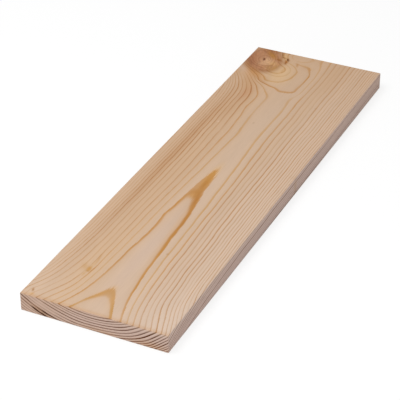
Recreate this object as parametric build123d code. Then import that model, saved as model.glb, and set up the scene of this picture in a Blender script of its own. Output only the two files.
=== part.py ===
"""A planed softwood plank: one board, sawn from the log, planed on four sides and crosscut square.

The board lies flat on a broad face, as it is stored. Width runs along X, length along Y and
thickness along Z. The origin is the middle of the underside. All sizes are in millimetres.
"""

import os

from build123d import *

# Driving dimensions of the stock
board_width = 140.0
board_thickness = 18.0
board_length = 500.0

# Edges: the planer eases the four long ones, and a rub with sandpaper breaks the crosscut ones
arris_radius = 0.8
end_break = 0.3


def planed_section():
    """The section that the planer leaves: a rectangle with its four arrises eased to a small radius.

    It stands on the ground line, centred on the board's width.
    """
    return Pos(0, board_thickness / 2) * RectangleRounded(board_width, board_thickness, arris_radius)


def planed_board():
    """The planed section run out to the board's length, half to each side of the origin."""
    return extrude(Plane.XZ * planed_section(), amount=board_length / 2, both=True)


def end_outlines(board):
    """The edges that the saw leaves round both crosscut ends."""
    by_length = board.faces().sort_by(Axis.Y)
    return by_length[0].edges() + by_length[-1].edges()


def plank():
    """The finished board: planed, crosscut square, and its end outlines broken."""
    board = planed_board()
    return chamfer(end_outlines(board), length=end_break)


os.makedirs("parts", exist_ok=True)
export_step(plank(), "parts/plank.step")
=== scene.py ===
"""A planed softwood plank, dressed as its photograph shows it.

The board's figure is worked out once, as a solid: growth rings round a pith line above the board, a
branch that leans through one corner, and the swelling of the rings round it. The broad faces, the
edges and the ends are three cuts through that solid, so every line runs on round the corners.
Lengths are in millimetres, and MM turns them to the frame's metres.
"""

import logging
import math
from dataclasses import dataclass
from enum import Enum

import bmesh
import bpy
import numpy as np
from mathutils import Matrix, Vector


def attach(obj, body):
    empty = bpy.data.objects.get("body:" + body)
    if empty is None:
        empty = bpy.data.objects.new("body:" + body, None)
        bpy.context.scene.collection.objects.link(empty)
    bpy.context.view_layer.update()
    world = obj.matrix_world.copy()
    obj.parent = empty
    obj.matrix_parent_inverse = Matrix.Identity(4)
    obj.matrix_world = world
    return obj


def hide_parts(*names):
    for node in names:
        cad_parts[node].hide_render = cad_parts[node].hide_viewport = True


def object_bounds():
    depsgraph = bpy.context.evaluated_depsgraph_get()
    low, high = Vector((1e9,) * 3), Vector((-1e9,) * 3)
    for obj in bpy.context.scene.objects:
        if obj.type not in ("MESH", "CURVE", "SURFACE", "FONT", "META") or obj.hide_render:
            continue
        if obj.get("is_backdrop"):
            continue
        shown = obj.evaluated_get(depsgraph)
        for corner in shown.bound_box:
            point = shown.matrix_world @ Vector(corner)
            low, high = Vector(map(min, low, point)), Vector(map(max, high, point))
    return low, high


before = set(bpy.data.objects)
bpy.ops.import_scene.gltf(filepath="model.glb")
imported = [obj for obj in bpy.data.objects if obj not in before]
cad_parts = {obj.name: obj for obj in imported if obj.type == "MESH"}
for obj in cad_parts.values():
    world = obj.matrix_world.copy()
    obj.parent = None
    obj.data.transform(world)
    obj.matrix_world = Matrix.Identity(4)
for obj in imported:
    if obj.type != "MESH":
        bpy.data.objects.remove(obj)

log = logging.getLogger("plank")

MM = 0.001
# A wave texture of scale 1 repeats over this length
WAVE_LENGTH = math.tau / 20
# Sockets whose names repeat within their node, by number: a colour mix's two colours and its result,
# and the ends of the two spans of a vector range
UNDER, OVER, MIXED = 6, 7, 2
FROM_LOW, FROM_HIGH, TO_LOW, TO_HIGH = 7, 8, 9, 10

Socket = bpy.types.NodeSocket
Colour = tuple[float, float, float, float]


def linear(hex_colour: str) -> Colour:
    """Turn an sRGB hex colour to the linear values that a shader takes.

    Args:
        hex_colour: six hex digits after a hash sign.

    Returns:
        Linear red, green and blue, and an alpha of 1.
    """
    shares = [int(hex_colour[i : i + 2], 16) / 255 for i in (1, 3, 5)]
    red, green, blue = (s / 12.92 if s <= 0.04045 else ((s + 0.055) / 1.055) ** 2.4 for s in shares)
    return (red, green, blue, 1.0)


def add(
    tree: bpy.types.NodeTree,
    kind: str,
    inputs: dict[int | str, object] | None = None,
    out: int | str = 0,
    **settings: object,
) -> Socket | None:
    """Add a node to a shader or geometry tree, with its settings and links.

    Args:
        tree: the tree that takes the node.
        kind: the node's type name.
        inputs: values and sockets for the node's inputs, by name or number.
        out: the name or number of the output to hand back.
        settings: the node's own properties.

    Returns:
        That output, or nothing from a node that has none.
    """
    node = tree.nodes.new(kind)
    for key, value in settings.items():
        setattr(node, key, value)
    for key, value in (inputs or {}).items():
        if isinstance(value, Socket):
            tree.links.new(value, node.inputs[key])
        else:
            node.inputs[key].default_value = value
    return node.outputs[out] if node.outputs else None


class Cut(Enum):
    """The three ways that the board's surface cuts the stem."""

    FACE = "planed softwood face"
    EDGE = "planed softwood edge"
    END = "crosscut softwood end grain"


class Late(Enum):
    """The tints that the late bands of the rings take on, by how much resin is in them."""

    GOLD = "#BE8834"
    AMBER = "#BC843E"
    BROWN = "#AE7434"


@dataclass(frozen=True)
class GrowthRing:
    """One year's growth: its width, how dark its late band is, from 0 to 1, and that band's tint."""

    width: float
    strength: float
    tint: Late = Late.BROWN


@dataclass(frozen=True)
class PithStation:
    """Where the pith line stands over the board at one place along it.

    height is from the top face up, drift is across the board, and flare is how far the rings are
    drawn out sideways there, where 1 is round and less is wider.
    """

    along: float
    height: float
    drift: float
    flare: float


@dataclass(frozen=True)
class Patch:
    """A soft oval on one of the cuts, where the wood differs from the wood round it.

    across and along are its middle: across the board and along it on a broad face, across and up on
    an end, and along and up on an edge. girth and reach are its half sizes in those two directions,
    before the turn. A higher firmness gives it a flatter middle and a sharper rim. depth is how far
    it goes into the wood from the top face, the near end or the right edge.
    """

    strength: float
    across: float
    along: float
    girth: float
    reach: float
    turn: float = 0.0
    firmness: float = 1.0
    depth: float = 60.0
    cut: Cut = Cut.FACE

    def spread(self, across: np.ndarray, along: np.ndarray, depth: np.ndarray) -> np.ndarray:
        """How much of the patch there is at each place.

        Args:
            across: the places' first measure on the patch's cut.
            along: their second measure.
            depth: how far they lie below that cut.

        Returns:
            The patch's strength there.
        """
        turn = math.radians(self.turn)
        east, north = across - self.across, along - self.along
        sideways = (east * math.cos(turn) + north * math.sin(turn)) / self.girth
        lengthwise = (north * math.cos(turn) - east * math.sin(turn)) / self.reach
        distance = (sideways**2 + lengthwise**2) ** self.firmness
        return self.strength * np.exp(-distance - (depth / self.depth) ** 2)


@dataclass(frozen=True)
class EndPatch(Patch):
    """A patch on the near end, which goes a little way along the board."""

    depth: float = 6.0
    cut: Cut = Cut.END


@dataclass(frozen=True)
class EdgePatch(Patch):
    """A patch on the right edge, which goes a little way across the board."""

    depth: float = 4.0
    cut: Cut = Cut.EDGE


@dataclass(frozen=True)
class Branch:
    """The branch that leaves the knot: where its pith meets the top face, and how it leans and grows.

    lean_across and lean_along are how far it shifts to the left and to the far end for each
    millimetre down. It is stretch times as long as it is wide. core is the growth radius at its pith,
    slope is how fast that rises outwards, and blend is how softly its rings run into the stem's.
    """

    across: float = -52.5
    along: float = 227.0
    lean_across: float = 0.85
    lean_along: float = -0.15
    stretch: float = 1.2
    core: float = 33.0
    slope: float = 1.15
    blend: float = 1.6


@dataclass
class Stem:
    """The tree that the board was sawn from, as a field of growth through the wood."""

    width: float
    length: float
    thickness: float

    FIRST_RADIUS = 38.0
    RINGS = (
        GrowthRing(2.5, 0.9),
        GrowthRing(2.5, 0.6),
        GrowthRing(2.5, 0.9),
        GrowthRing(2.5, 0.9, Late.GOLD),
        GrowthRing(2.5, 0.45, Late.GOLD),
        GrowthRing(2.8, 0.85, Late.GOLD),
        GrowthRing(2.7, 1.0, Late.AMBER),
        GrowthRing(2.1, 0.6, Late.GOLD),
        GrowthRing(2.5, 0.75, Late.AMBER),
        GrowthRing(2.6, 0.7),
        GrowthRing(2.7, 0.4),
        GrowthRing(2.6, 0.55),
        GrowthRing(2.7, 0.9),
        GrowthRing(2.7, 0.75),
        GrowthRing(2.1, 0.65),
        GrowthRing(2.1, 0.7),
        GrowthRing(2.0, 0.65),
        GrowthRing(2.2, 1.0),
        GrowthRing(2.1, 0.5),
        GrowthRing(1.7, 1.0),
        GrowthRing(2.1, 0.75),
        GrowthRing(1.8, 0.6),
        GrowthRing(1.6, 0.7),
        GrowthRing(1.9, 0.3),
        GrowthRing(1.9, 1.0),
        GrowthRing(1.9, 0.35),
        GrowthRing(2.0, 0.3),
        GrowthRing(2.0, 0.4),
        GrowthRing(2.0, 0.9),
        GrowthRing(2.0, 0.5),
    )
    PITH = (
        PithStation(-250, 50.9, -2.2, 0.79),
        PithStation(-220, 52.9, -1.7, 0.875),
        PithStation(-170, 54.0, -1.7, 0.955),
        PithStation(-125, 54.6, -1.6, 0.985),
        PithStation(-80, 55.0, -2.6, 1.0),
        PithStation(-40, 55.6, -3.0, 1.0),
        PithStation(5, 56.0, -2.3, 1.0),
        PithStation(70, 56.85, -2.8, 1.0),
        PithStation(110, 56.6, -3.6, 1.0),
        PithStation(150, 56.7, -4.4, 1.0),
        PithStation(250, 56.8, -5.0, 1.0),
    )
    BRANCH = Branch()
    # How much the rings bulge out round the branch, and where they close in again beside it
    SWELLINGS = (
        Patch(42, -76, 242, 40, 56, 41, depth=1000),
        Patch(-10, -26, 242, 23.5, 19.5, depth=1000),
        Patch(1.9, -36, 183, 11, 8, depth=9),
        Patch(-1, -6, 158, 17, 15, depth=9),
        Patch(1.6, -26, 212, 8, 12, depth=9),
        Patch(-1.4, -9, 206, 7, 12, depth=9),
        Patch(-1, -8, 189, 9, 8, depth=9),
        Patch(-1.1, -9, 222, 9, 8, depth=9),
        Patch(0.4, 3, 172, 6, 6, depth=9),
        Patch(0.45, 8, 175, 9, 12, depth=9),
        Patch(-0.5, 3, 219.5, 7, 6.5, depth=9),
        Patch(-0.4, -18, 172, 5.5, 4.5, depth=9),
        Patch(0.45, -37, 182, 6, 4, depth=9),
        Patch(0.2, 5, 187, 5, 8, depth=9),
        Patch(-0.25, 5, 207, 5, 9, depth=9),
        Patch(1, -35, 203, 8, 5, depth=9),
        # The same round two pin knots
        Patch(0.5, -33.5, -194, 3, 9, depth=10),
        Patch(0.8, -62, -243, 4, 5, depth=10),
        # The bends of the rings along the right edge
        EdgePatch(1.2, 40, 9, 110, 30),
        EdgePatch(0.75, -72, 12, 38, 30),
        EdgePatch(-0.8, 20, 12, 34, 30),
        # Across the near end
        EndPatch(4.6, -85, 9, 32, 1000, depth=36),
        EndPatch(-1.6, -72, 14, 12, 9, depth=8),
        EndPatch(0.65, -42, 3, 10, 7),
        EndPatch(1.3, 53, 0, 9, 6),
        EndPatch(0.5, 44, 6, 12, 7),
        EndPatch(1, -20, 2.5, 14, 6),
        EndPatch(1.2, 32, 6, 16, 9),
        EndPatch(0.8, 57, 7, 11, 8),
        # Down the left side
        Patch(-0.4, -36, -226, 13, 22, depth=14),
        Patch(-1.6, -39, -193, 10, 32, depth=14),
        Patch(-0.75, -39, -130, 9, 45),
        Patch(-1.05, -32, -38, 10, 42),
        Patch(-0.65, -50, -45, 11, 32),
        Patch(0.45, -57, 22, 9, 20),
        Patch(0.35, -40, 2, 5, 14),
        Patch(-0.28, -20, 14, 6, 30),
        Patch(1.1, -45, 85, 15, 50, 0, 1.5),
        Patch(0.4, -42, 125, 9, 16),
        Patch(-0.4, -28, 150, 4, 12),
        Patch(-0.5, -69, -50, 2.2, 60, 0, 1.3),
        Patch(-0.35, -30.5, -196, 2.6, 14, depth=14),
        Patch(0.5, -28, 122, 6, 12),
        Patch(-0.3, -18, 145, 5, 22),
        # Down the right side
        Patch(-1.6, 47, -214, 11, 24, depth=5),
        Patch(-0.75, 47, -158, 10, 32, depth=5),
        Patch(-1.1, 64, -196, 6, 28, depth=5),
        Patch(-0.6, 66, -145, 5, 28, depth=5),
        Patch(-0.4, 66, -180, 4, 22, depth=5),
        Patch(0.25, 27, -145, 6, 35, depth=5),
        Patch(0.45, 52, -22, 12, 13, depth=5),
        Patch(0.28, 20, -8, 5, 22, depth=5),
        Patch(0.85, 22, -55, 10, 45, depth=5),
        Patch(1, 55, -62, 10, 58, depth=5),
        Patch(2.2, 60, 210, 21, 140, 0, 1.5, depth=5),
        # The long flame leans to the left
        Patch(0.14, -9, -35, 5, 28),
        Patch(-0.1, 3, -35, 5, 28),
        Patch(0.07, -7, -11, 3, 9),
        # Its two limbs sway a little on their way to the near end
        Patch(0.3, -13.5, -89, 4, 10),
        Patch(-0.07, -13, -120, 4, 13),
        Patch(0.24, -16, -155, 4, 9),
        Patch(-0.06, 3.5, -63, 3, 9),
        Patch(-0.17, 9, -122, 3.5, 14, depth=5),
        Patch(-0.2, 12, -177, 3.5, 12, depth=5),
        Patch(-0.15, -9, -226, 6, 12),
    )
    # Where the late bands are broad: they are broader on the right of the pith anyway
    VIGOUR = (
        Patch(0.6, -56, 80, 14, 200),
        Patch(0.8, -37, 145, 12, 45),
        Patch(-0.8, 6, 205, 12, 40),
        Patch(1, -32, 178.5, 12, 6),
        Patch(1.6, -52, 224, 17, 24),
        Patch(0.7, -18, 208, 12, 16),
        Patch(0.5, -2, -45, 6, 30),
        Patch(0.5, -1, -216, 8, 10),
        Patch(0.4, -12, 204, 6, 20),
        Patch(0.5, 9, -115, 4, 45),
        Patch(0.5, 3, -62, 3, 10),
        EndPatch(-0.5, -55, 9, 18, 14),
    )
    # Where there is more resin in the late bands, which turns them dark, and where there is less
    PITCH = (
        # Across the near end
        EndPatch(0.25, 50, 10, 14, 12),
        EndPatch(0.55, -40, 12.8, 1.6, 12, 70),
        EndPatch(0.3, 56, 15.3, 1.6, 4.5, -52),
        EndPatch(-0.35, 60, 7.6, 1.2, 4, -50),
        EndPatch(-0.4, 50, 6.8, 1.6, 7, -55),
        EndPatch(0.25, -4, 3, 34, 3.5),
        EndPatch(-0.15, 0, 15.5, 16, 3.5),
        EndPatch(0.15, 26, 11, 10, 6),
        EndPatch(-0.2, -47, 10, 2.4, 12, 70),
        EndPatch(0.25, -27, 9, 14, 12),
        EndPatch(0.45, 58, 3.4, 3.5, 7, -52),
        # Down the left side
        Patch(0.45, -39.5, 150, 5, 32, depth=8),
        Patch(0.35, -53.8, -20, 3.2, 140, depth=8),
        Patch(-0.5, -48.8, -118, 2.6, 92),
        Patch(-0.75, -65, 0, 2.4, 165),
        Patch(-0.75, -67.5, -165, 2.4, 30),
        Patch(0.4, -68.3, -45, 1.4, 62),
        Patch(0.3, -43.2, 62, 1.8, 50),
        Patch(0.2, -48, 45, 1.8, 40),
        Patch(-0.4, -31.7, 72, 2.4, 16),
        Patch(-0.25, -16.3, 125, 2.6, 36),
        Patch(-0.08, -16, -150, 4, 95, -5),
        Patch(-0.2, -26, -90, 5, 130),
        Patch(-0.2, -61, -221, 11, 22),
        Patch(0.16, -48, 70, 13, 110),
        Patch(-0.25, -8, 168.5, 12, 5),
        Patch(-0.25, -17, -240, 4, 9),
        Patch(-0.6, -36.2, -195, 1.8, 9),
        Patch(-0.5, -53, -188, 2.2, 26, -7),
        Patch(0.3, -46.5, -192, 1.8, 18, -7),
        Patch(0.4, -29.7, -190, 1.6, 12),
        Patch(-0.25, -18.8, -198, 3, 25, -4),
        Patch(-0.2, -34.6, -150, 1.8, 20),
        Patch(-0.25, -28.5, -243, 2.5, 8),
        Patch(-0.15, -42, -247, 12, 8),
        # The two flames, mostly weaker at their feet and tips, and a line beside the long one
        Patch(0.12, 7.5, -110, 3, 50, 4, depth=5),
        Patch(-0.14, 11.4, -168, 3, 24, 4, depth=5),
        Patch(-0.35, -8.8, -34, 2, 18, -6),
        Patch(-0.25, -0.6, 2, 2, 8),
        Patch(-0.2, 1.8, -38, 1.4, 16, 6),
        Patch(0.3, -25.7, -50, 1.8, 16),
        Patch(-0.2, -8, -225, 6, 10),
        Patch(-0.2, 5, -226, 5, 10),
        # Down the right side
        Patch(-0.25, 19, -230, 4, 20, depth=5),
        Patch(-0.2, 35, -240, 9, 15, depth=5),
        Patch(0.4, 50.2, -138, 1.6, 22, depth=5),
        Patch(-0.6, 54.2, -148, 1.8, 38, depth=5),
        Patch(-0.5, 56.8, -194, 1.8, 16, depth=5),
        Patch(-0.4, 64.6, -210, 2.4, 10, depth=5),
        Patch(-0.35, 67.6, -184, 1.6, 14, depth=5),
        Patch(-0.5, 67.9, -220, 1.8, 12, depth=5),
        Patch(-0.25, 29.3, -212, 2, 14, depth=5),
        Patch(-0.25, 46, -207, 2, 10, depth=5),
        Patch(-0.35, 23.6, -246, 2.5, 9, depth=5),
        Patch(0.3, 15.6, 152, 2, 16, depth=5),
        Patch(0.3, 28.4, 125, 2, 40, depth=5),
        # The rings thin out round the bark and in the knot
        Patch(-0.8, -24.5, 234.5, 6, 4.5),
        Patch(-0.45, -14, 244, 14, 7),
        Patch(-0.3, -52, 226, 13, 17),
        Patch(-0.15, -12, 204, 6, 20),
        Patch(-0.35, -22, 187, 15, 6),
        Patch(-0.25, -13, 219, 7, 10),
        Patch(-0.25, 4.5, 184, 4, 14),
        Patch(-0.45, -6, 229.5, 9, 4),
        Patch(-0.5, -21, 231.5, 4, 3),
        Patch(-0.25, 2, 220, 4, 7),
        Patch(0.35, -25, 193, 9, 3),
        Patch(-0.6, -65.5, 196, 6, 13, 46),
        Patch(-0.3, 8.5, 163, 2.5, 10),
        # They are weaker to the far right too, on the face and on the edge
        Patch(-0.28, 35, 170, 32, 110, 0, 1.3, depth=5),
        EdgePatch(-0.3, 190, 9, 100, 40, depth=2),
    )
    # Each stain's colour and place, laid over those before it; one of them is a painted highlight along
    # the near end's top arris
    STAINS_AND_HIGHLIGHT = (
        # Warmer, darker colour down the left side and towards the far end, paler colour to the right and
        # at the near end
        ("#C49A6C", Patch(0.42, -38, 10, 24, 260)),
        ("#C49A66", Patch(0.17, 26, 110, 11, 200)),
        ("#BC8A52", Patch(0.2, -66, 60, 14, 260)),
        ("#AC7230", Patch(0.32, -53, 15, 4.6, 140, 0, 1.3)),
        ("#B47C3C", Patch(0.2, -42.5, 116, 7.5, 32)),
        ("#C0905C", Patch(0.14, 31, 222, 9, 50)),
        ("#C2925E", Patch(0.32, -12, 275, 85, 110)),
        ("#DCC7B6", Patch(0.3, 66, -110, 26, 150, depth=3)),
        ("#DECEC2", Patch(0.32, 70, -250, 45, 60, depth=3)),
        ("#DEC8B4", Patch(0.2, -66, -250, 30, 40, depth=3)),
        ("#D8B078", Patch(0.12, -31, -185, 16, 60, depth=3)),
        ("#CEB4A2", Patch(0.6, -2, -145, 8, 80, depth=3)),
        # Yellow resin in the swollen wood beside the knot, and the brown band that borders it
        ("#BC8448", Patch(0.4, -71, 190, 4, 9)),
        ("#D8B486", Patch(0.6, -24, 203, 13, 22, 10, 1.5)),
        ("#C08C54", Patch(0.4, -46, 172, 7, 34, 18)),
        ("#BC7C54", Patch(0.25, -40, 150, 5, 14)),
        ("#C28A4C", Patch(0.68, -50, 195.5, 5, 18, 51, 1.5)),
        ("#B07434", Patch(0.4, -37, 181.5, 1.6, 11, 56.5)),
        ("#C08C48", Patch(0.4, -24.8, 212, 1.6, 7)),
        ("#C4965A", Patch(0.35, -30.5, 201.6, 1.6, 5, 80)),
        # The knot: brown all over, redder to the left, paler round its pith, with a golden patch
        ("#9C6434", Patch(0.9, -51.5, 224.5, 20.5, 28, 18, 3.5)),
        ("#B68460", Patch(0.95, -51, 226, 17.5, 24.5, 18, 6)),
        ("#A66E48", Patch(0.55, -51.5, 226, 14.5, 20.5, 18, 5)),
        ("#BC8A64", Patch(0.6, -51.5, 226, 11.5, 16.5, 18, 4)),
        ("#A87452", Patch(0.5, -52, 226.5, 8, 12, 18, 4)),
        ("#9A6040", Patch(0.42, -72, 226, 10, 24, 25)),
        ("#8A5230", Patch(0.5, -63.5, 215.5, 3, 9, 38)),
        ("#8E5636", Patch(0.25, -66.5, 227, 1.8, 12, 34)),
        ("#C8987C", Patch(0.2, -64, 243, 3, 5, 20)),
        ("#9A6030", Patch(0.6, -54, 248.5, 14, 5)),
        ("#A06A38", Patch(0.35, -64, 208, 3, 6, 45)),
        ("#D2B4A2", Patch(0.4, -66.5, 200, 3.6, 10, 46)),
        ("#BE8C54", Patch(0.15, -62, 188, 6, 8)),
        ("#D6A070", Patch(0.25, -53.5, 188.5, 2.6, 10, 46)),
        ("#965A2C", Patch(0.35, -44.5, 203, 1.3, 6, 80)),
        ("#DAAE86", Patch(0.8, -47.5, 222.5, 6.5, 9.5, 22, 1.1)),
        ("#D2A882", Patch(0.35, -52, 216.5, 3.5, 4)),
        ("#A87C46", Patch(0.62, -40, 211, 5, 7, 10)),
        ("#D4A870", Patch(0.65, -40, 221, 4, 5.5, 5)),
        ("#BC8C46", Patch(0.5, -34.4, 214, 2, 8, -4)),
        ("#AC762E", Patch(0.8, -48, 238, 3.8, 9, 43, 1.3)),
        ("#A06828", Patch(0.3, -52.5, 242, 3, 4, 43)),
        ("#885410", Patch(0.8, -37.5, 231.5, 2, 3.6, 55, 1.3)),
        ("#643006", Patch(1, -52.7, 226.5, 1.3, 3.4, 15, 1.5)),
        ("#D2A27C", Patch(0.75, -43.5, 207, 1.4, 2.2, 40, 1.3)),
        # Pale wood round the bark that is caught beside the knot, and brown wood in its lee
        ("#D2A876", Patch(0.8, -34, 241, 3.4, 8, 22, 1.3)),
        ("#9A6426", Patch(0.6, -38.6, 244.5, 1.1, 6.5, 20)),
        ("#9A6426", Patch(0.6, -34.4, 238.4, 3, 1.2)),
        ("#8A5414", Patch(0.7, -29, 235.6, 1.5, 3.2, 30)),
        ("#A0600C", Patch(0.95, -29, 230, 1.9, 5, 12)),
        ("#B27C3C", Patch(0.75, -15.4, 228, 1.1, 4, 20)),
        ("#CCA060", Patch(0.3, -5, 229.5, 1.8, 8, 70)),
        # The long flame is full to its foot, its fibres show, and its right limb is soft on the inside
        ("#CE9850", Patch(0.22, 4.8, -110, 2, 55, 4, depth=10)),
        ("#B87410", Patch(0.45, 1.8, -55, 1.8, 13, 8, depth=10)),
        ("#BC8030", Patch(0.4, 7.3, -90, 1.5, 22, 5, depth=10)),
        ("#C89450", Patch(0.75, -4, -47, 5, 8.5, 3, 2.5, depth=10)),
        ("#E6B66A", Patch(0.4, -3, -14, 4, 24, 0, 1.5, depth=10)),
        ("#A8742C", Patch(0.15, -8.2, -38, 0.9, 15, -4, depth=10)),
        ("#AC742E", Patch(0.3, -4.2, -30, 0.9, 12, depth=10)),
        ("#BA7A10", Patch(0.42, -1.8, -29, 1.4, 12, 3, depth=10)),
        # The short flame at the near end
        ("#D09C50", Patch(0.5, -8, -223.5, 2.6, 8, -31, depth=10)),
        ("#D69E4C", Patch(0.3, 5.2, -225, 2.2, 8, 12, depth=10)),
        ("#DCAC6C", Patch(0.35, -1.2, -211, 3, 4, depth=10)),
        # Pin knots and small resin marks
        ("#C0935A", Patch(0.5, -39, -192.5, 3, 5, 20, depth=8)),
        ("#BE8A42", Patch(0.82, -33.8, -194.6, 2.1, 4.4, 4, 1.6, depth=8)),
        ("#8C5C1C", Patch(0.3, -33.6, -197.8, 1.7, 1, depth=8)),
        ("#BA8848", Patch(0.55, -33.3, -178, 0.8, 7.5, 7, depth=8)),
        ("#C89A58", Patch(0.3, -33.4, -187, 1.2, 4, depth=8)),
        ("#C29250", Patch(0.5, -34.6, -202.6, 1.1, 3, depth=8)),
        ("#9E6A2E", Patch(0.95, -62, -241.5, 0.9, 2.4, 20, depth=6)),
        ("#D2A260", Patch(0.6, -60, -247, 2, 1.6, depth=6)),
        ("#A47C54", Patch(0.6, 17.2, -145.5, 0.8, 1.1, depth=2)),
        ("#AC8C70", Patch(0.6, -8, 97, 0.8, 1.2, depth=2)),
        ("#AC8868", Patch(0.6, 37, 150, 0.8, 1.2, depth=2)),
        ("#DFC2AA", Patch(0.7, -41, 85, 0.9, 1.2, depth=2)),
        # Orange wood at the foot of the near end, a painted highlight in warm wood colour along its top
        # arris where the eased edge catches the light, and duller wood at its left
        ("#BC8C5C", EndPatch(0.4, 52, 2, 14, 4)),
        ("#BE9468", EndPatch(0.35, 5, 1, 24, 3)),
        # Painted highlight: a warm band along the near end's top arris
        ("#C09060", EndPatch(0.4, 0, 18, 300, 1, depth=3)),
        ("#B08A70", EndPatch(0.1, -60, 9, 14, 14, depth=3)),
        # Two streaks of dark resin across the near end
        ("#A0703E", EndPatch(0.4, -50, 4.6, 2.6, 12.5, 65, 1.3, depth=3)),
        ("#5E3A20", EndPatch(0.8, -64.6, 14, 0.7, 6.5, 57.5, 1.5, depth=3)),
        ("#5E3A20", EndPatch(0.3, -56.6, 9.2, 0.6, 4.5, 58, 1.3, depth=3)),
        ("#4A260C", EndPatch(0.6, -51.5, 6.5, 0.7, 3.6, 64, 1.3, depth=3)),
        ("#3E1E06", EndPatch(1, -46, 4.4, 0.95, 4.4, 66.5, 1.8, depth=3)),
        ("#42220A", EndPatch(0.85, -40.2, 2.5, 0.8, 5, 72, 1.6, depth=3)),
        ("#5E3A20", EndPatch(0.6, -65, 10.6, 0.55, 5, 57, 1.3, depth=3)),
        ("#3C1A02", EndPatch(1, -55.4, 5, 1.05, 5.6, 61.5, 2.5, depth=3)),
        ("#3C1A02", EndPatch(1, -48.2, 1.8, 1, 4.8, 69, 2, depth=3)),
        # The right edge darker and duller towards its far end, and one brown mark at its middle
        ("#A58B7D", EdgePatch(0.14, 190, 9, 90, 40, depth=2)),
        ("#B4926C", EdgePatch(0.45, 18.5, 9, 3, 9, depth=6)),
        ("#7A5A38", EdgePatch(0.4, 19, 2.6, 2.2, 1.8, depth=6)),
    )
    # The slow wander of the fibres: how far, over what length, and how it shifts across the board
    WAVES = ((0.2, 83.0, 0.05), (0.1, 37.0, 0.08), (0.04, 17.0, 0.1))
    # Rings far from the pith sit a little further left than the near ones
    LOPSIDE = 1.6
    LOPSIDE_REACH = 28.0
    # How far from the pith line the late bands change from their left form to their right one
    VIGOUR_REACH = 9.0
    FULL_VIGOUR = 2.0
    # Below this much stain its colour doesn't count
    LEAST_COVER = 1e-6

    @classmethod
    def boundaries(cls) -> np.ndarray:
        """The radius at which each ring ends, from the first radius outwards."""
        return cls.FIRST_RADIUS + np.cumsum([0.0] + [ring.width for ring in cls.RINGS])

    def pith(self, along: np.ndarray, name: str) -> np.ndarray:
        """Read one of the pith line's measures along the board, on a smooth curve through the stations.

        Args:
            along: places along the board.
            name: the field of PithStation.

        Returns:
            That measure at each place.
        """
        places = np.array([station.along for station in self.PITH], float)
        values = np.array([getattr(station, name) for station in self.PITH], float)
        slopes = np.gradient(values, places)
        first = np.clip(np.searchsorted(places, along) - 1, 0, len(places) - 2)
        span = places[first + 1] - places[first]
        share = (along - places[first]) / span
        rise = values[first + 1] - values[first]
        bend = share * (1 - share)
        start, end = slopes[first] * span - rise, rise - slopes[first + 1] * span
        return values[first] + share * rise + bend * ((1 - share) * start + share * end)

    def on_cut(self, points: np.ndarray, cut: Cut) -> tuple[np.ndarray, np.ndarray, np.ndarray]:
        """Measure places as a patch on one of the cuts does.

        Args:
            points: places in the wood, one to a row.
            cut: the cut that the patch lies on.

        Returns:
            The two measures on that cut, and the depth below it. On the top face they follow the
            branch's lean, so that a knot runs down through the board.
        """
        across, along, up = points.T
        if cut is Cut.END:
            return across, up, along + self.length / 2
        if cut is Cut.EDGE:
            return along, up, self.width / 2 - across
        down = self.thickness - up
        return across + self.BRANCH.lean_across * down, along - self.BRANCH.lean_along * down, down

    def sum_of(self, patches: tuple[Patch, ...], points: np.ndarray) -> np.ndarray:
        """Add up what some patches give at each place."""
        return sum(patch.spread(*self.on_cut(points, patch.cut)) for patch in patches)

    def offset(self, points: np.ndarray) -> np.ndarray:
        """How far each place lies to the right of the pith line, as the rings there are centred.

        Args:
            points: places in the wood, one to a row.

        Returns:
            That distance, with the wander of the fibres and the lean of the outer rings in it.
        """
        across, along, _ = points.T
        wander = sum(
            size * np.sin(math.tau * along / length + shift * across + index)
            for index, (size, length, shift) in enumerate(self.WAVES)
        )
        plain = across + wander - self.pith(along, "drift")
        return plain + self.LOPSIDE * (1 - np.exp(-((plain / self.LOPSIDE_REACH) ** 2)))

    def growth(self, points: np.ndarray) -> np.ndarray:
        """The radius at which the tree laid down the wood at each place.

        Args:
            points: places in the wood, one to a row.

        Returns:
            The radius, which is the same all over one growth ring's surface.
        """
        along, up = points[:, 1], points[:, 2]
        drop = self.thickness + self.pith(along, "height") - up
        radius = np.hypot(self.pith(along, "flare") * self.offset(points), drop)
        radius = radius - self.sum_of(self.SWELLINGS, points)
        over, beside, _ = self.on_cut(points, Cut.FACE)
        branch = self.BRANCH
        from_pith = np.hypot(over - branch.across, (beside - branch.along) / branch.stretch)
        knot = branch.core + branch.slope * from_pith
        return -branch.blend * np.logaddexp(-radius / branch.blend, -knot / branch.blend)

    def vigour(self, points: np.ndarray) -> np.ndarray:
        """How broad the late bands are at each place, from 0 to full."""
        right = 0.5 + 0.5 * np.tanh(self.offset(points) / self.VIGOUR_REACH)
        return np.clip(right + self.sum_of(self.VIGOUR, points), 0, self.FULL_VIGOUR)

    def stains_and_highlight(self, points: np.ndarray) -> tuple[np.ndarray, np.ndarray]:
        """Lay the stains, and the painted highlight along the near end's top arris, over each other at
        each place.

        Args:
            points: places in the wood, one to a row.

        Returns:
            The linear colour of what lies on the plain wood, and how much of it there is.
        """
        tint, cover = np.zeros((len(points), 3)), np.zeros(len(points))
        for shade, patch in self.STAINS_AND_HIGHLIGHT:
            amount = patch.spread(*self.on_cut(points, patch.cut))
            tint = tint * (1 - amount)[:, None] + np.outer(amount, linear(shade)[:3])
            cover = cover * (1 - amount) + amount
        return tint / np.maximum(cover, self.LEAST_COVER)[:, None], cover


class Way(Enum):
    """The way that a tool's marks follow each other over the board."""

    ACROSS = "X"
    ALONG = "Y"


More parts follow.
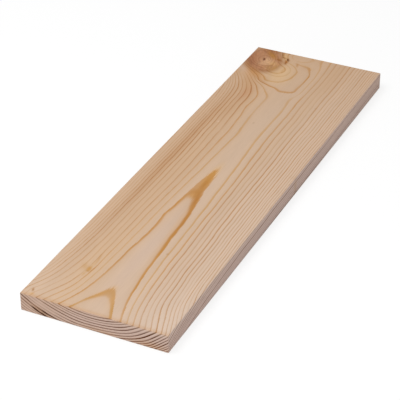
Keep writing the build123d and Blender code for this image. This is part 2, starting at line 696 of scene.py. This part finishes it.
@dataclass(frozen=True)
class WoodFinish:
    """How one cut of the wood looks: its colours, how strongly the rings show, and its polish.

    late_from is the share of a year after which its late band starts. tinting is how much of each
    ring's own tint shows in place of the cut's latewood colour. evenness lifts the weak rings.
    resin is what the late bands turn to where they are full of it. fray is how far, in growth, the
    fibres pull a ring's border to and fro, and drag is how far the tool smears it outwards. polish
    is the shader's specular level, low where open pores swallow the light. tool_pitch is the spacing
    of the marks that the planer or the saw left, along tool_way. fibre_depth is how much the fibres
    lighten and darken the wood, and relief is how proud the late bands stand.
    """

    cut: Cut
    earlywood: str
    latewood: str
    resin: str
    tinting: float
    evenness: float
    late_from: float
    fray: float
    roughness: float
    polish: float
    drag: float = 0.0
    # Single fibres, about 0.04 mm wide, are too fine to show, so bundles of them are drawn
    fibre_length: float = 22.0
    fibre_width: float = 0.5
    fibre_depth: float = 0.045
    tool_pitch: float = 1.8
    tool_way: Way = Way.ALONG
    relief: float = 0.03

    # Wood's fibres and resin bend light by about this much
    IOR = 1.5
    # What a late band takes away from a stain that lies over it
    STAINED_LATE = "#E2D2BC"
    BARK_TINT = "#683A02"
    # Slow changes of tone: how wide and long their streaks are, and how strong
    TONE_SIZE = (13.0, 240.0)
    TONE_DEPTH = 0.03
    # Wood that is soaked with stain is mottled, on a slant that follows the fibres round the knot
    CLOUD_SIZE = (1.6, 6.0)
    CLOUD_TURN = 18.0
    CLOUD_DEPTH = 0.12
    SOAKED_FROM = 0.7
    # Noise keeps to the middle of its range, so this share is left off at either end
    SOFT_NOISE = 0.3
    FIBRE_NOISE = 0.25
    NOISE_ROUGHNESS = 0.6
    # How high the fibres and the tool's marks stand where a late band is 1, and how marks wander
    FIBRE_HEIGHT = 0.4
    MARK_HEIGHT = 0.5
    MARK_WANDER = 0.6
    MARK_DETAIL = 1.0
    BUMP_STRENGTH = 0.5
    # How much smoother the late bands are
    LATE_SHINE = 0.1
    # Late bands start early in the year where growth is strong, and late where it is weak
    WEAK_LAG = 1.45
    STRONG_LAG = 0.55
    # How late wood shows through a year: at its borders, near them, and about the late band's start
    YEAR_BORDER = 0.1
    YEAR_SPOTS = ((0.06, 0.0), (0.96, 1.0))
    RISE_SPOTS = ((-0.2, 0.04), (0.0, 0.15), (0.11, 0.85))

    def material(self) -> bpy.types.Material:
        """Build the material.

        Returns:
            A procedural material that reads the growth field from the mesh.
        """
        material = bpy.data.materials.new(self.cut.value)
        material.use_nodes = True
        tree = material.node_tree
        tree.nodes.clear()
        place = add(tree, "ShaderNodeTexCoord", out="Object")
        fibre = self.streaks(tree, place, self.fibre_width, self.fibre_length)
        tone = self.streaks(tree, place, *self.TONE_SIZE)
        cloud = self.streaks(tree, place, *self.CLOUD_SIZE, self.CLOUD_TURN)
        late, wood = self.rings(tree, fibre)

        # Knots, resin and the painted highlight along the near end's top arris, with the rings still
        # showing through, then bark
        stain_and_highlight = add(tree, "ShaderNodeAttribute", out="Vector", attribute_name="stain_and_highlight")
        cover = add(tree, "ShaderNodeAttribute", out="Fac", attribute_name="cover")
        bark = add(tree, "ShaderNodeAttribute", out="Fac", attribute_name="bark")
        ringed = add(
            tree,
            "ShaderNodeMix",
            {0: late, UNDER: stain_and_highlight, OVER: linear(self.STAINED_LATE)},
            out=MIXED,
            data_type="RGBA",
            blend_type="MULTIPLY",
        )
        overlaid = wood
        for amount, tint in ((cover, ringed), (bark, linear(self.BARK_TINT))):
            overlaid = add(
                tree, "ShaderNodeMix", {0: amount, UNDER: overlaid, OVER: tint}, out=MIXED, data_type="RGBA"
            )

        # Slow changes of tone and the fibres everywhere, and clouds where the wood is soaked
        swings = (
            (tone, self.SOFT_NOISE, 1, self.TONE_DEPTH),
            (fibre, self.FIBRE_NOISE, 1, self.fibre_depth),
            (cloud, self.SOFT_NOISE, 0, self.CLOUD_DEPTH),
        )
        shade, streak, mottle = (
            add(
                tree,
                "ShaderNodeMapRange",
                {
                    "Value": noise,
                    "From Min": low,
                    "From Max": 1 - low,
                    "To Min": middle - depth,
                    "To Max": middle + depth,
                },
            )
            for noise, low, middle, depth in swings
        )
        soaked = add(tree, "ShaderNodeMapRange", {"Value": cover, "From Min": self.SOAKED_FROM})
        mottled = add(tree, "ShaderNodeMath", {0: mottle, 1: soaked, 2: shade}, operation="MULTIPLY_ADD")
        both = add(tree, "ShaderNodeMath", {0: mottled, 1: streak}, operation="MULTIPLY")
        colour = add(tree, "ShaderNodeVectorMath", {0: overlaid, "Scale": both}, operation="SCALE")

        # The hard late bands stand a little proud and shine a little more
        marks = add(
            tree,
            "ShaderNodeTexWave",
            {
                "Vector": place,
                "Scale": WAVE_LENGTH / (self.tool_pitch * MM),
                "Distortion": self.MARK_WANDER,
                "Detail": self.MARK_DETAIL,
            },
            out="Fac",
            bands_direction=self.tool_way.value,
        )
        height = late
        for rise, share in ((fibre, self.FIBRE_HEIGHT), (marks, self.MARK_HEIGHT)):
            height = add(tree, "ShaderNodeMath", {0: rise, 1: share, 2: height}, operation="MULTIPLY_ADD")
        bump = add(
            tree,
            "ShaderNodeBump",
            {"Height": height, "Strength": self.BUMP_STRENGTH, "Distance": self.relief * MM},
        )
        gloss = add(
            tree,
            "ShaderNodeMapRange",
            {"Value": late, "To Min": self.roughness, "To Max": self.roughness - self.LATE_SHINE},
        )
        surface = add(
            tree,
            "ShaderNodeBsdfPrincipled",
            {
                "Base Color": colour,
                "Roughness": gloss,
                "IOR": self.IOR,
                "Specular IOR Level": self.polish,
                "Normal": bump,
            },
        )
        add(tree, "ShaderNodeOutputMaterial", {"Surface": surface})
        return material

    def streaks(
        self, tree: bpy.types.NodeTree, place: Socket, width: float, length: float, turn: float = 0.0
    ) -> Socket:
        """Draw out noise along the grain.

        Args:
            tree: the tree that takes the nodes.
            place: the coordinates.
            width: how wide a streak is, in millimetres.
            length: how long it is along the board.
            turn: how far it slants from the board's length, in degrees.

        Returns:
            The noise, from 0 to 1.
        """
        drawn = add(
            tree,
            "ShaderNodeMapping",
            {
                "Vector": place,
                "Rotation": (0.0, 0.0, math.radians(turn)),
                "Scale": (width * MM, length * MM, width * MM),
            },
            vector_type="TEXTURE",
        )
        return add(
            tree, "ShaderNodeTexNoise", {"Vector": drawn, "Scale": 1.0, "Roughness": self.NOISE_ROUGHNESS}
        )

    def years(self, tree: bpy.types.NodeTree, fibre: Socket) -> Socket:
        """Count the growth rings, from the first radius outwards.

        Args:
            tree: the tree that takes the nodes.
            fibre: noise along the grain, which frays the rings a little.

        Returns:
            The number of whole years, and how far through the next one the wood is.
        """
        radius = add(tree, "ShaderNodeAttribute", out="Fac", attribute_name="growth")
        ends, count = Stem.boundaries(), len(Stem.RINGS)
        ragged = add(
            tree, "ShaderNodeMath", {0: fibre, 1: self.fray, 2: radius}, operation="MULTIPLY_ADD"
        )
        shift = self.fray / 2 + self.drag
        share = add(
            tree,
            "ShaderNodeMapRange",
            {"Value": ragged, "From Min": ends[0] + shift, "From Max": ends[-1] + shift},
        )
        counter = add(tree, "ShaderNodeFloatCurve", {"Value": share})
        curve = counter.node.mapping.curves[0]
        for index, end in enumerate(ends[1:-1], 1):
            curve.points.new((end - ends[0]) / (ends[-1] - ends[0]), index / count)
        for point in curve.points:
            point.handle_type = "VECTOR"
        counter.node.mapping.update()
        return add(tree, "ShaderNodeMath", {0: counter, 1: count}, operation="MULTIPLY")

    def rings(self, tree: bpy.types.NodeTree, fibre: Socket) -> tuple[Socket, Socket]:
        """Turn the growth field to late bands and to the plain wood's colour.

        Args:
            tree: the tree that takes the nodes.
            fibre: noise along the grain.

        Returns:
            How much late wood shows, from 0 to 1, and the wood's colour.
        """
        years, count = self.years(tree, fibre), len(Stem.RINGS)
        vigour = add(tree, "ShaderNodeAttribute", out="Fac", attribute_name="vigour")
        pitch = add(tree, "ShaderNodeAttribute", out="Fac", attribute_name="pitch")

        # How far through its year the wood is, and how late that makes it
        season = add(tree, "ShaderNodeMath", {0: years}, operation="FRACT")
        lag = add(
            tree,
            "ShaderNodeMapRange",
            {
                "Value": vigour,
                "From Max": Stem.FULL_VIGOUR,
                "To Min": self.WEAK_LAG,
                "To Max": self.STRONG_LAG,
            },
        )
        lagged = add(tree, "ShaderNodeMath", {0: season, 1: lag}, operation="POWER")
        profile = add(tree, "ShaderNodeFloatCurve", {"Value": lagged})
        shape = profile.node.mapping.curves[0]
        for point in shape.points:
            point.location.y = self.YEAR_BORDER
        rise = ((self.late_from + after, shown) for after, shown in self.RISE_SPOTS)
        for spot in (*self.YEAR_SPOTS, *rise):
            shape.points.new(*spot)
        profile.node.mapping.update()

        # Each ring's own tint and strength
        year = add(tree, "ShaderNodeMath", {0: years}, operation="FLOOR")
        which = add(
            tree, "ShaderNodeMath", {0: year, 1: 1 / count, 2: 0.5 / count}, operation="MULTIPLY_ADD"
        )
        own = add(tree, "ShaderNodeValToRGB", {"Fac": which})
        own.node.color_ramp.interpolation = "CONSTANT"
        stops = own.node.color_ramp.elements
        for index, ring in enumerate(Stem.RINGS):
            stop = stops[0] if index == 0 else stops.new(index / count)
            stop.color = (*linear(ring.tint.value)[:3], ring.strength)
        stops.remove(stops[-1])
        strength = add(
            tree, "ShaderNodeMapRange", {"Value": own.node.outputs["Alpha"], "To Min": self.evenness}
        )
        darker = add(tree, "ShaderNodeMath", {0: strength, 1: pitch}, operation="ADD")
        late = add(tree, "ShaderNodeMath", {0: profile, 1: darker}, operation="MULTIPLY", use_clamp=True)

        # The early wood, and over it the late bands, which turn from their own tint to resin
        early, band = linear(self.earlywood), linear(self.latewood)
        for amount, tint in ((self.tinting, own), (pitch, linear(self.resin))):
            band = add(
                tree, "ShaderNodeMix", {0: amount, UNDER: band, OVER: tint}, out=MIXED, data_type="RGBA"
            )
        wood = add(
            tree, "ShaderNodeMix", {0: late, UNDER: early, OVER: band}, out=MIXED, data_type="RGBA"
        )
        return late, wood


@dataclass(frozen=True)
class Crack:
    """A crack in the bark beside the knot: its line on the top face, its width, depth and darkness."""

    line: tuple[tuple[float, float], ...]
    width: float
    depth: float
    darkness: float = 1.0

    # The crack is ragged: how much it pinches and widens, and how fast across and along the board
    RAGS = ((0.3, 1.0, 3.1), (0.2, 5.3, 0.0))
    # Its flat foot, as a share of its width
    FOOT = 0.4

    def openness(self, points: np.ndarray) -> np.ndarray:
        """How open the crack is at each place on the top face.

        Args:
            points: places on the board, one to a row.

        Returns:
            1 along the crack's line, falling to 0 a little way past its width.
        """
        places = points[:, :2]
        nearest = np.full(len(places), np.inf)
        for start, end in zip(self.line, self.line[1:]):
            start, run = np.array(start), np.subtract(end, start)
            share = np.clip((places - start) @ run / (run @ run), 0, 1)
            nearest = np.minimum(nearest, np.linalg.norm(places - start - share[:, None] * run, axis=1))
        across, along = places.T
        ragged = 1 + sum(size * np.sin(x * across + y * along) for size, x, y in self.RAGS)
        return np.clip(1 + self.FOOT - nearest / (self.width * ragged), 0, 1)


@dataclass(frozen=True)
class Window:
    """A box round small features, down from the top face, where the board's cells are cut finer."""

    low: tuple[float, float]
    high: tuple[float, float]
    cuts: int
    depth: float = 0.1

    def holds(self, place: Vector, top: float) -> bool:
        """Whether a place, in millimetres, lies in the window below a top face at that height."""
        inside = all(a <= x <= b for a, x, b in zip(self.low, place, self.high))
        return inside and place.z >= top - self.depth


@dataclass
class Plank:
    """The board itself, built to the CAD box."""

    width: float
    length: float
    thickness: float
    arris: float = 0.8
    end_break: float = 0.3
    cells_across: int = 72
    cells_along: int = 252
    cells_through: int = 12

    # How many rows of cells go round each arris
    ARRIS_ROWS = 2.0
    # A cell lies level, or belongs to an edge or an end, when its normal points there by this share
    LEVEL = 0.999
    FACING = 0.8
    # What lies this close to the top face is on it
    SKIN = 0.01
    CRACKS = (
        Crack(((-40.5, 249.2), (-39.2, 245.5), (-37.2, 240.6)), 0.4, 0.3, 0.45),
        Crack(((-36.6, 239.2), (-35.2, 238.3), (-33.0, 238.6)), 0.42, 0.3, 0.6),
        Crack(((-30.2, 237.4), (-29.2, 236.0), (-28.0, 233.6)), 0.6, 0.8),
        Crack(((-29.4, 230.2), (-28.6, 228.6), (-28.4, 227.0)), 0.3, 0.3, 0.5),
        Crack(((-32.6, 249.2), (-31.4, 247.0)), 0.3, 0.3, 0.6),
    )
    # The knot all through the board, the bark, the pith, the near end's resin, then small marks
    WINDOWS = (
        Window((-71, 160), (8, 251), 1, depth=20),
        Window((-44, 222), (-24, 249.6), 3),
        Window((-56, 220), (-49, 233), 1),
        Window((-71, -251), (-33, -249.9), 4, depth=20),
        Window((-42, -206), (-28, -165), 2),
        Window((-66, -249), (-56, -236), 2),
        Window((14, -149), (20, -142), 3),
        Window((-11, 94), (-5, 100), 3),
        Window((34, 147), (40, 153), 3),
        Window((-44, 82), (-38, 88), 3),
    )

    def tree(self, materials: dict[Cut, bpy.types.Material]) -> bpy.types.NodeTree:
        """Make the geometry nodes that build the eased board.

        Args:
            materials: the material of each cut.

        Returns:
            A tree whose named inputs are the board's sizes and its cells.
        """
        tree = bpy.data.node_groups.new("planed board", "GeometryNodeTree")
        lengths = ("Width", "Length", "Thickness")
        cells = ("Cells Across", "Cells Along", "Cells Through")
        for name in (*lengths, "Arris", "End Break"):
            tree.interface.new_socket(name, in_out="INPUT", socket_type="NodeSocketFloat")
        for name in cells:
            tree.interface.new_socket(name, in_out="INPUT", socket_type="NodeSocketInt")
        tree.interface.new_socket("Geometry", in_out="OUTPUT", socket_type="NodeSocketGeometry")
        given = add(tree, "NodeGroupInput").node.outputs
        size, grid, ease = (
            add(tree, "ShaderNodeCombineXYZ", {axis: given[name] for axis, name in enumerate(names)})
            for names in (lengths, cells, ("Arris", "End Break", "Arris"))
        )
        counts = {
            f"Vertices {axis}": add(tree, "ShaderNodeMath", {0: given[name], 1: 1.0}, operation="ADD")
            for axis, name in zip("XYZ", cells)
        }
        block = add(tree, "GeometryNodeMeshCube", {"Size": size, **counts})
        eased = self.eased(tree, size, grid, ease)
        half = add(tree, "ShaderNodeMath", {0: given["Thickness"], 1: 0.5}, operation="MULTIPLY")
        lift = add(tree, "ShaderNodeCombineXYZ", {2: half})
        moved = add(
            tree, "GeometryNodeSetPosition", {"Geometry": block, "Position": eased, "Offset": lift}
        )
        add(tree, "NodeGroupOutput", {0: self.dressed(tree, moved, materials)})
        return tree

    def eased(self, tree: bpy.types.NodeTree, size: Socket, grid: Socket, ease: Socket) -> Socket:
        """Draw the outer rows of cells on each side in to the arris, and spread the rest out.

        Args:
            tree: the tree that takes the nodes.
            size: the block's size.
            grid: how many cells it has each way.
            ease: the arris's size each way.

        Returns:
            Where each corner of the block's cells goes.
        """
        half = add(tree, "ShaderNodeVectorMath", {0: size, "Scale": 0.5}, operation="SCALE")
        flat = add(tree, "ShaderNodeVectorMath", {0: half, 1: ease}, operation="SUBTRACT")
        cell = add(tree, "ShaderNodeVectorMath", {0: size, 1: grid}, operation="DIVIDE")
        rows = add(tree, "ShaderNodeVectorMath", {0: cell, "Scale": self.ARRIS_ROWS}, operation="SCALE")
        inner = add(tree, "ShaderNodeVectorMath", {0: half, 1: rows}, operation="SUBTRACT")
        place = add(tree, "GeometryNodeInputPosition")
        away = add(tree, "ShaderNodeVectorMath", {0: place}, operation="ABSOLUTE")
        side = add(tree, "ShaderNodeVectorMath", {0: place}, operation="SIGN")
        zero, one = (0, 0, 0), (1, 1, 1)
        spread, outer = (
            add(
                tree,
                "ShaderNodeMapRange",
                {"Vector": away, FROM_LOW: start, FROM_HIGH: end, TO_LOW: zero, TO_HIGH: reach},
                out="Vector",
                data_type="FLOAT_VECTOR",
            )
            for start, end, reach in ((zero, inner, flat), (inner, half, one))
        )
        around = add(tree, "ShaderNodeVectorMath", {0: outer}, operation="NORMALIZE")
        drawn = add(
            tree, "ShaderNodeVectorMath", {0: around, 1: ease, 2: spread}, operation="MULTIPLY_ADD"
        )
        return add(tree, "ShaderNodeVectorMath", {0: drawn, 1: side}, operation="MULTIPLY")

    def dressed(
        self, tree: bpy.types.NodeTree, board: Socket, materials: dict[Cut, bpy.types.Material]
    ) -> Socket:
        """Shade the board and give each side its material.

        Args:
            tree: the tree that takes the nodes.
            board: the eased board.
            materials: the material of each cut.

        Returns:
            The finished board.
        """
        # Only the eased strips are smooth, so that the planed faces stay flat to the eye
        normal = add(tree, "GeometryNodeInputNormal")
        facing = add(tree, "ShaderNodeVectorMath", {0: normal}, operation="ABSOLUTE")
        across, along, up = add(tree, "ShaderNodeSeparateXYZ", {0: facing}).node.outputs
        widest = add(tree, "ShaderNodeMath", {0: across, 1: along}, operation="MAXIMUM")
        most = add(tree, "ShaderNodeMath", {0: widest, 1: up}, operation="MAXIMUM")
        slant = add(tree, "FunctionNodeCompare", {"A": most, "B": self.LEVEL}, operation="LESS_THAN")
        level = add(tree, "GeometryNodeSetShadeSmooth", {0: board, "Shade Smooth": slant})
        real = add(tree, "GeometryNodeRealizeInstances", {0: level})
        done = add(tree, "GeometryNodeSetMaterial", {0: real, "Material": materials[Cut.FACE]})
        for share, cut in ((across, Cut.EDGE), (along, Cut.END)):
            chosen = add(
                tree, "FunctionNodeCompare", {"A": share, "B": self.FACING}, operation="GREATER_THAN"
            )
            done = add(
                tree,
                "GeometryNodeSetMaterial",
                {"Geometry": done, "Selection": chosen, "Material": materials[cut]},
            )
        return done

    def build(self, materials: dict[Cut, bpy.types.Material]) -> bpy.types.Object:
        """Build the board and write the growth field on it.

        Args:
            materials: the material of each cut.

        Returns:
            The finished piece, as a plain mesh at the origin.
        """
        piece = bpy.data.objects.new("planed_plank", bpy.data.meshes.new("planed_plank"))
        bpy.context.scene.collection.objects.link(piece)
        maker = piece.modifiers.new("board", "NODES")
        maker.node_group = self.tree(materials)
        sizes = {
            "Width": self.width * MM,
            "Length": self.length * MM,
            "Thickness": self.thickness * MM,
            "Arris": self.arris * MM,
            "End Break": self.end_break * MM,
            "Cells Across": self.cells_across,
            "Cells Along": self.cells_along,
            "Cells Through": self.cells_through,
        }
        for item in maker.node_group.interface.items_tree:
            if item.in_out == "INPUT":
                maker[item.identifier] = sizes[item.name]
        bpy.context.view_layer.update()
        graph = bpy.context.evaluated_depsgraph_get()
        mesh = bpy.data.meshes.new_from_object(piece.evaluated_get(graph), depsgraph=graph)
        piece.modifiers.remove(maker)
        piece.data = mesh
        mesh.name = "planed_plank"
        self.refine(mesh)
        self.mark(mesh)
        return piece

    def refine(self, mesh: bpy.types.Mesh) -> None:
        """Cut the cells finer in the windows that hold small features.

        Args:
            mesh: the board's mesh, which is changed in place.
        """
        shape = bmesh.new()
        shape.from_mesh(mesh)
        for window in self.WINDOWS:
            chosen = [
                cell
                for cell in shape.faces
                if window.holds(cell.calc_center_median() / MM, self.thickness)
            ]
            edges = {edge for cell in chosen for edge in cell.edges}
            bmesh.ops.subdivide_edges(shape, edges=list(edges), cuts=window.cuts, use_grid_fill=True)
        shape.to_mesh(mesh)
        shape.free()

    def mark(self, mesh: bpy.types.Mesh) -> None:
        """Write the growth field on the mesh's vertices, and press the cracks in the bark into it.

        Args:
            mesh: the board's mesh, which is changed in place.
        """
        spots = np.empty(len(mesh.vertices) * 3)
        mesh.vertices.foreach_get("co", spots)
        points = spots.reshape(-1, 3) / MM
        stem = Stem(self.width, self.length, self.thickness)
        on_top = points[:, 2] > self.thickness - self.SKIN
        openness = np.array([crack.openness(points) for crack in self.CRACKS]) * on_top
        depths = np.array([[crack.depth] for crack in self.CRACKS])
        darkness = np.array([[crack.darkness] for crack in self.CRACKS])
        tint, cover = stem.stains_and_highlight(points)
        fields = {
            "growth": stem.growth(points),
            "vigour": stem.vigour(points),
            "pitch": stem.sum_of(stem.PITCH, points),
            "cover": cover,
            "bark": (openness * darkness).max(axis=0),
        }
        for name, values in fields.items():
            mesh.attributes.new(name, "FLOAT", "POINT").data.foreach_set("value", values)
        mesh.attributes.new("stain_and_highlight", "FLOAT_VECTOR", "POINT").data.foreach_set("vector", tint.ravel())
        points[:, 2] -= (openness * depths).max(axis=0)
        mesh.vertices.foreach_set("co", (points * MM).ravel())
        mesh.update()


@dataclass(frozen=True)
class Viewpoint:
    """The photograph's camera, found from the board's outline in its 400 by 400 frame.

    azimuth and elevation are in degrees, and distance is from the middle of the board's underside.
    That point lies to the right of the picture's middle by aside, and over it by above.
    """

    frame_px: float = 400.0
    focal_px: float = 1609.5
    azimuth: float = 25.46
    elevation: float = 32.62
    distance: float = 1532.4
    aside: float = 18.63
    above: float = 12.35
    sensor: float = 36.0

    def place(self) -> None:
        """Set the scene's camera."""
        turn, rise = math.radians(self.azimuth), math.radians(self.elevation)
        right = Vector((math.cos(turn), math.sin(turn), 0))
        back = Vector((math.sin(turn) * math.cos(rise), -math.cos(turn) * math.cos(rise), math.sin(rise)))
        up = back.cross(right)
        data = bpy.data.cameras.new("photograph")
        data.sensor_width = self.sensor
        data.lens = self.focal_px / self.frame_px * self.sensor
        camera = bpy.data.objects.new("photograph", data)
        camera.matrix_world = Matrix((right, up, back)).transposed().to_4x4()
        camera.location = (self.distance * back - self.aside * right - self.above * up) * MM
        bpy.context.scene.collection.objects.link(camera)
        bpy.context.scene.camera = camera


@dataclass(frozen=True)
class Softbox:
    """A square soft lamp that faces the board's middle: its power, and its size and place in metres."""

    name: str
    power: float
    size: float
    place: tuple[float, float, float]

    def hang(self) -> None:
        """Put the lamp up, out of the camera's sight."""
        data = bpy.data.lights.new(self.name, "AREA")
        data.shape = "SQUARE"
        data.size = self.size
        data.energy = self.power
        lamp = bpy.data.objects.new(self.name, data)
        lamp.location = self.place
        lamp.rotation_euler = (-Vector(self.place)).to_track_quat("-Z", "Y").to_euler()
        lamp.visible_camera = False
        bpy.context.scene.collection.objects.link(lamp)


@dataclass(frozen=True)
class Studio:
    """A plain white studio: a pale floor, a large lamp overhead, a weak one in front, and even light.

    floor_size is in metres, and floor_drop is how far below the board the floor lies, in millimetres.
    floor_glow is how much of floor_white the floor shows to the camera over its own tone.
    """

    floor_size: float = 12.0
    floor_drop: float = 0.2
    floor_tone: str = "#F4F4F4"
    floor_glow: float = 0.75
    floor_white: float = 1.05
    ambient: float = 0.47

    WHITE = (1.0, 1.0, 1.0, 1.0)
    LAMPS = (
        Softbox("key", 12.2, 0.9, (-0.35, -0.42, 1.3)),
        Softbox("fill", 1.45, 0.4, (0.5, -0.8, 0.15)),
    )

    def build(self) -> None:
        """Make the world, the floor and the lamps."""
        bpy.context.scene.view_settings.view_transform = "Standard"
        self.world()
        self.floor()
        for lamp in self.LAMPS:
            lamp.hang()

    def seen(self, tree: bpy.types.NodeTree, share: float) -> Socket:
        """How much of the plain white a ray sees: that share if it comes from the camera or a mirror.

        Args:
            tree: the tree that takes the nodes.
            share: the factor for such rays.

        Returns:
            The factor's socket.
        """
        path = add(tree, "ShaderNodeLightPath").node.outputs
        looking = path["Is Camera Ray"]
        for name in ("Is Glossy Ray", "Is Transmission Ray"):
            looking = add(tree, "ShaderNodeMath", {0: looking, 1: path[name]}, operation="MAXIMUM")
        return add(tree, "ShaderNodeMath", {0: looking, 1: share}, operation="MULTIPLY")

    def world(self) -> None:
        """Light the scene evenly from all round, and show white behind the floor."""
        world = bpy.data.worlds.new("studio")
        world.use_nodes = True
        tree = world.node_tree
        tree.nodes.clear()
        light, white = (
            add(tree, "ShaderNodeBackground", {"Color": self.WHITE, "Strength": strength})
            for strength in (self.ambient, 1.0)
        )
        both = add(tree, "ShaderNodeMixShader", {0: self.seen(tree, 1.0), 1: light, 2: white})
        add(tree, "ShaderNodeOutputWorld", {"Surface": both})
        bpy.context.scene.world = world

    def floor(self) -> None:
        """Lay the floor, which glows white to the camera and still takes the board's shadow."""
        half = self.floor_size / 2
        mesh = bpy.data.meshes.new("floor")
        corners = [(-half, -half, 0), (half, -half, 0), (half, half, 0), (-half, half, 0)]
        mesh.from_pydata(corners, [], [(0, 1, 2, 3)])
        material = bpy.data.materials.new("matt white studio paper")
        material.use_nodes = True
        tree = material.node_tree
        tree.nodes.clear()
        paper = add(tree, "ShaderNodeBsdfDiffuse", {"Color": linear(self.floor_tone)})
        glow = add(tree, "ShaderNodeEmission", {"Color": self.WHITE, "Strength": self.floor_white})
        seen = self.seen(tree, self.floor_glow)
        both = add(tree, "ShaderNodeMixShader", {0: seen, 1: paper, 2: glow})
        add(tree, "ShaderNodeOutputMaterial", {"Surface": both})
        mesh.materials.append(material)
        floor = bpy.data.objects.new("floor", mesh)
        floor.location.z = -self.floor_drop * MM
        bpy.context.scene.collection.objects.link(floor)
        floor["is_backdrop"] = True


FINISHES = (
    # Planed along the grain: smooth, with a soft sheen, and the rings as fine golden lines
    WoodFinish(
        cut=Cut.FACE,
        earlywood="#CEB299",
        latewood="#A5733C",
        resin="#A0622A",
        tinting=1.0,
        evenness=0.0,
        late_from=0.72,
        fray=0.5,
        roughness=0.55,
        polish=0.12,
    ),
    # Planed across the rings: the same wood seen from the side, so its lines lie close and even
    WoodFinish(
        cut=Cut.EDGE,
        # The earlywood is greyer and more mauve than the face's: painted cool light on the edge, which
        # the white lamps don't give
        earlywood="#CAB1A5",
        latewood="#6E4A36",
        resin="#4A2610",
        tinting=0.1,
        evenness=0.1,
        late_from=0.6,
        fray=0.33,
        roughness=0.6,
        polish=0.1,
    ),
    # Crosscut by a saw: open pores drink the light, so it is duller and every ring is a dark arc
    WoodFinish(
        cut=Cut.END,
        # The earlywood's mauve tint is painted cool light, as on the edge; the darker rings are the end
        # grain's own
        earlywood="#CAB0A2",
        latewood="#552E18",
        resin="#4A2610",
        tinting=0.05,
        evenness=0.15,
        late_from=0.57,
        fray=0.3,
        roughness=0.75,
        polish=0.04,
        drag=0.4,
        fibre_length=0.9,
        fibre_depth=0.05,
        tool_pitch=1.3,
        tool_way=Way.ACROSS,
        relief=0.08,
    ),
)


def main() -> None:
    """Build the plank and its studio, and report each piece."""
    logging.basicConfig(level=logging.INFO, format="%(message)s")
    cad_low, cad_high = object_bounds()
    span = (cad_high - cad_low) / MM
    plank = Plank(round(span.x, 3), round(span.y, 3), round(span.z, 3))
    piece = plank.build({finish.cut: finish.material() for finish in FINISHES})
    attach(piece, "root")
    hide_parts("plank")
    piece.data.calc_loop_triangles()
    log.info("%s: %d triangles", piece.name, len(piece.data.loop_triangles))
    Studio().build()
    Viewpoint().place()


if __name__ == "__main__":
    main()
